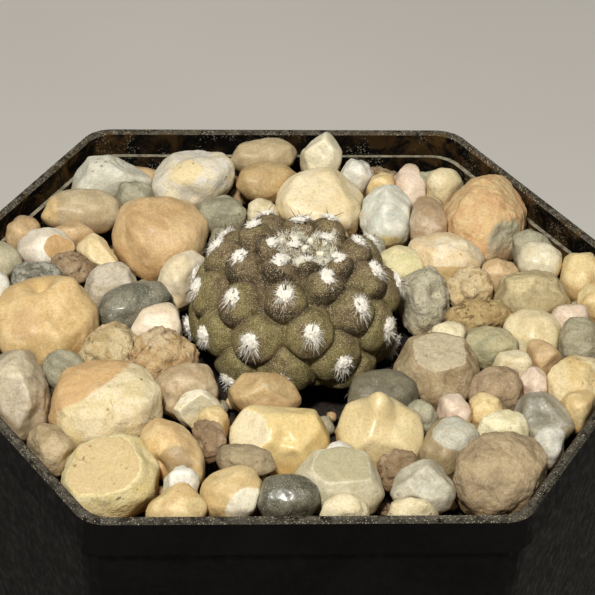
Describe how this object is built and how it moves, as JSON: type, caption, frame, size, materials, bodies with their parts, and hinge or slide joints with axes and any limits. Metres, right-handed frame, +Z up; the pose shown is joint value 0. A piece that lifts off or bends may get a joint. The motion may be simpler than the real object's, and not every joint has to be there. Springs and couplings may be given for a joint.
{
  "type": "potted eriosyce cactus",
  "caption": "Small globular eriosyce cactus with woolly areoles, standing in a six-sided black plastic nursery pot filled with soil and dressed with river pebbles.",
  "frame": {"origin": "middle of the pot's foot, on the surface that it stands on", "axes": "+Z up; +X through one upright corner of the six-sided pot; +Y at right angles, through the middle of a side"},
  "size_m": [0.0912, 0.0802, 0.0719],
  "materials": {
    "black_plastic": "moulded black plastic, satin, slightly dusty",
    "potting_mix": "dark gritty potting mix",
    "grit": "mixed small river gravel",
    "cactus_skin": "olive to purple-brown skin, fine-grained, with white woolly areoles",
    "white_stone": "water-worn milky quartz, satin",
    "cream_stone": "water-worn cream stone, satin",
    "wax_stone": "waxy yellow flint, worn flats",
    "yellow_stone": "pale yellow river stone, satin",
    "orange_stone": "orange-tan river stone, satin",
    "tan_stone": "tan river stone, slightly grainy",
    "brown_stone": "brown river stone, grainy",
    "pink_stone": "pink-tan river stone, satin",
    "grey_stone": "grey river stone, satin",
    "pale_grey_stone": "pale grey-green river stone, satin",
    "dark_stone": "dark grey-green river stone, fine specks",
    "speckled_stone": "grey-white granite, speckled"
  },
  "bodies": {
    "root": {"pot": "black_plastic", "soil": "potting_mix", "gravel_bed": "grit", "cactus": "cactus_skin", "pebble_01": "tan_stone", "pebble_02": "cream_stone", "pebble_03": "white_stone", "pebble_04": "cream_stone", "pebble_05": "orange_stone", "pebble_06": "cream_stone", "pebble_07": "white_stone", "pebble_08": "pink_stone", "pebble_09": "orange_stone", "pebble_10": "tan_stone", "pebble_11": "orange_stone", "pebble_12": "white_stone", "pebble_13": "yellow_stone", "pebble_14": "pale_grey_stone", "pebble_15": "cream_stone", "pebble_16": "cream_stone", "pebble_17": "white_stone", "pebble_18": "speckled_stone", "pebble_19": "pale_grey_stone", "pebble_20": "cream_stone", "pebble_21": "tan_stone", "pebble_22": "tan_stone", "pebble_23": "dark_stone", "pebble_24": "yellow_stone", "pebble_25": "dark_stone", "pebble_26": "cream_stone", "pebble_27": "orange_stone", "pebble_28": "yellow_stone", "pebble_29": "grey_stone", "pebble_30": "grey_stone", "pebble_31": "tan_stone", "pebble_32": "brown_stone", "pebble_33": "brown_stone", "pebble_34": "pink_stone", "pebble_35": "cream_stone", "pebble_36": "pink_stone", "pebble_37": "yellow_stone", "pebble_38": "white_stone", "pebble_39": "cream_stone", "pebble_40": "tan_stone", "pebble_41": "grey_stone", "pebble_42": "wax_stone", "pebble_43": "wax_stone", "pebble_44": "grey_stone", "pebble_45": "grey_stone", "pebble_46": "white_stone", "pebble_47": "tan_stone", "pebble_48": "orange_stone", "pebble_49": "yellow_stone", "pebble_50": "grey_stone", "pebble_51": "pale_grey_stone", "pebble_52": "brown_stone", "pebble_53": "white_stone", "pebble_54": "tan_stone", "pebble_55": "dark_stone", "pebble_56": "tan_stone"}
  },
  "joints": []
}
